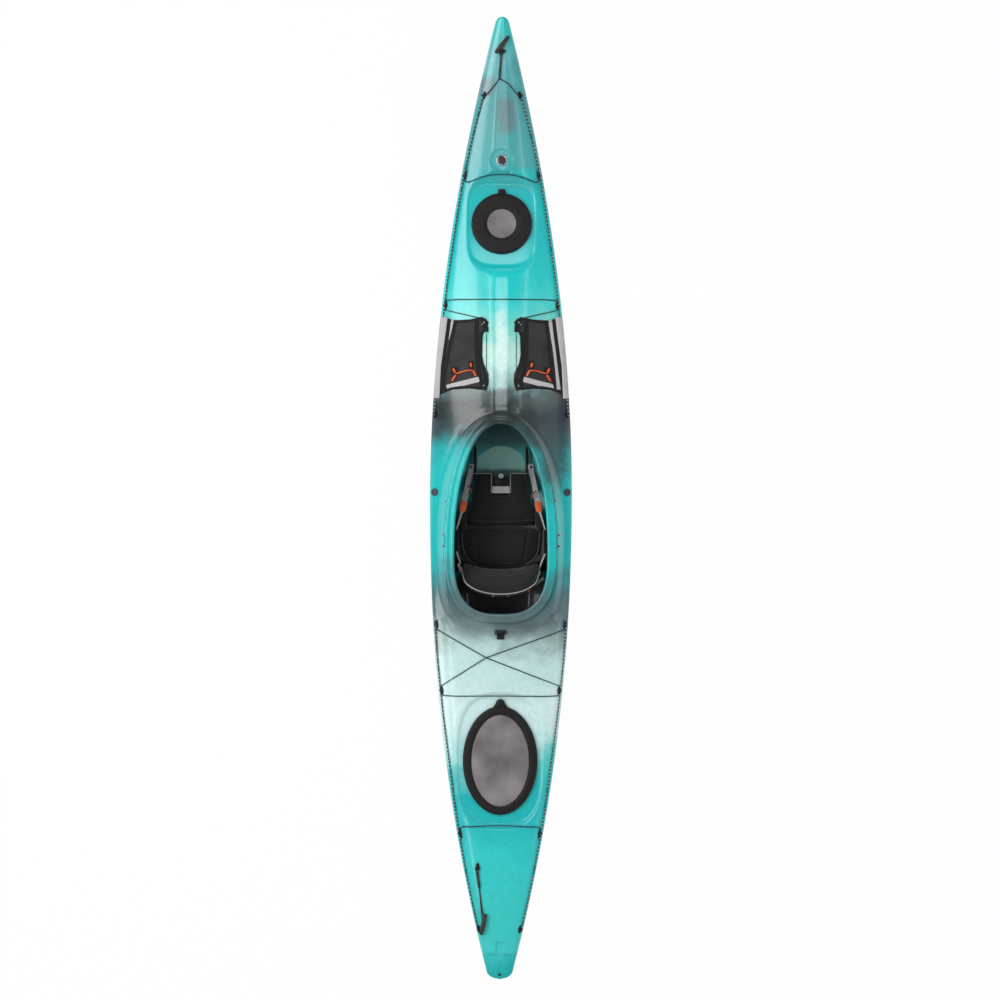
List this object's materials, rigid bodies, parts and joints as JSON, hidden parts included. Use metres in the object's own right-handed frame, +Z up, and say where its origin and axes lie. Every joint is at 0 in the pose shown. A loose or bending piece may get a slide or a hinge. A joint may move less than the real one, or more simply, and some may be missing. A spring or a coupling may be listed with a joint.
{
  "type": "sea kayak",
  "caption": "Touring sea kayak: moulded hull with cockpit rim, padded seat and leg lift, soft deck hatches, foot braces, deck bungees, grab lines and carry handles.",
  "frame": {"origin": "on the flat keel strip, at the middle of the overall length and beam", "axes": "+Y towards the bow, +X to starboard, +Z up"},
  "size_m": [0.658, 4.42, 0.4203],
  "materials": {
    "hull_shell": "rotomoulded polyethylene, marbled turquoise, mint and grey",
    "bulkhead_foam": "closed-cell foam",
    "hatch_rim": "moulded, satin black",
    "hatch_cover": "soft moulded, matt black",
    "hatch_panel": "soft moulded, matt grey",
    "fittings": "moulded nylon, satin black",
    "cord": "braided polyester with light flecks",
    "elastic": "braided elastic cord",
    "pocket": "coated mesh with webbing edges",
    "lock_bar": "satin black",
    "handles": "moulded rubber on cord",
    "rails": "black anodised",
    "pedals": "glass-filled nylon",
    "seat_plastic": "moulded polyethylene",
    "seat_fabric": "woven nylon over foam",
    "straps": "woven polyester webbing"
  },
  "bodies": {
    "hull": {"hull": "hull_shell", "bow_bulkhead": "bulkhead_foam", "stern_bulkhead": "bulkhead_foam", "bow_hatch_rim": "hatch_rim", "stern_hatch_rim": "hatch_rim", "pad_eye_bow_left": "fittings", "pad_eye_bow_right": "fittings", "pad_eye_fore_deck_left": "fittings", "pad_eye_fore_deck_right": "fittings", "pad_eye_hatch_left": "fittings", "pad_eye_hatch_right": "fittings", "pad_eye_cockpit_front_left": "fittings", "pad_eye_cockpit_front_right": "fittings", "pad_eye_cockpit_back_left": "fittings", "pad_eye_cockpit_back_right": "fittings", "pad_eye_day_deck_left": "fittings", "pad_eye_day_deck_right": "fittings", "pad_eye_aft_deck_left": "fittings", "pad_eye_aft_deck_right": "fittings", "pad_eye_stern_left": "fittings", "pad_eye_stern_right": "fittings", "pad_eye_stern_handle": "fittings", "grab_line_fore_left": "cord", "grab_line_fore_right": "cord", "grab_line_aft_left": "cord", "grab_line_aft_right": "cord", "side_plug_left": "hatch_cover", "side_plug_right": "hatch_cover", "bungee_fore": "elastic", "bungee_hatch": "elastic", "bungee_rear": "elastic", "bungee_aft": "elastic", "mesh_pocket_left": "pocket", "mesh_pocket_right": "pocket", "lock_bar": "lock_bar", "foot_rail_left": "rails", "foot_rail_right": "rails", "seat_pan": "seat_plastic", "seat_track_left": "seat_plastic", "seat_track_right": "seat_plastic", "seat_pad": "seat_fabric", "seat_hanger_left": "seat_plastic", "seat_hanger_right": "seat_plastic", "seat_strap_left": "straps", "seat_strap_right": "straps"},
    "bow_hatch": {"bow_hatch_cover": "hatch_cover", "bow_hatch_panel": "hatch_panel"},
    "stern_hatch": {"stern_hatch_cover": "hatch_cover", "stern_hatch_panel": "hatch_panel"},
    "bow_carry_handle": {"bow_handle": "handles"},
    "stern_carry_handle": {"stern_handle": "handles"},
    "pedal_left": {"foot_pedal_left": "pedals"},
    "pedal_right": {"foot_pedal_right": "pedals"},
    "lever_left": {"pedal_lever_left": "pedals"},
    "lever_right": {"pedal_lever_right": "pedals"},
    "leg_lift": {"leg_lift_plate": "seat_plastic", "leg_lift_pad": "seat_fabric", "leg_lift_adjuster": "pedals"},
    "seat_back": {"seat_back_frame": "seat_plastic"},
    "back_pad": {"seat_back_pad": "seat_fabric"}
  },
  "joints": [
    {"name": "bow_hatch_lift", "type": "slide", "parent": "hull", "child": "bow_hatch", "axis": [0, 0, 1], "range_m": [0, 0.25]},
    {"name": "stern_hatch_lift", "type": "slide", "parent": "hull", "child": "stern_hatch", "axis": [0, 0, 1], "range_m": [0, 0.25]},
    {"name": "bow_handle_swing", "type": "hinge", "parent": "hull", "child": "bow_carry_handle", "pos_m": [0, 1.85494, 0.36239], "axis": [1, 0, 0], "range_deg": [0, 90]},
    {"name": "stern_handle_swing", "type": "hinge", "parent": "hull", "child": "stern_carry_handle", "pos_m": [-0.10352, -1.69063, 0.29489], "axis": [-1, 0, 0], "range_deg": [0, 90]},
    {"name": "pedal_left_slide", "type": "slide", "parent": "hull", "child": "pedal_left", "axis": [0.096, 0.9954, 0], "range_m": [-0.15, 0.18]},
    {"name": "pedal_right_slide", "type": "slide", "parent": "hull", "child": "pedal_right", "axis": [-0.096, 0.9954, 0], "range_m": [-0.15, 0.18]},
    {"name": "lever_left_release", "type": "hinge", "parent": "pedal_left", "child": "lever_left", "pos_m": [-0.2306, 0.67669, 0.139], "axis": [0.9954, -0.096, 0], "range_deg": [0, 15], "stiffness_Nm_per_rad": 0.05},
    {"name": "lever_right_release", "type": "hinge", "parent": "pedal_right", "child": "lever_right", "pos_m": [0.2306, 0.67669, 0.139], "axis": [0.9954, 0.096, 0], "range_deg": [0, 15], "stiffness_Nm_per_rad": 0.05},
    {"name": "leg_lift_tilt", "type": "hinge", "parent": "hull", "child": "leg_lift", "pos_m": [0, -0.11091, 0.0556], "axis": [1, 0, 0], "range_deg": [0, 15]},
    {"name": "seat_back_recline", "type": "hinge", "parent": "hull", "child": "seat_back", "pos_m": [0, -0.28261, 0.118], "axis": [1, 0, 0], "range_deg": [-20, 10]},
    {"name": "back_pad_height", "type": "slide", "parent": "seat_back", "child": "back_pad", "axis": [0, -0.4848, 0.8746], "range_m": [0, 0.04]}
  ]
}
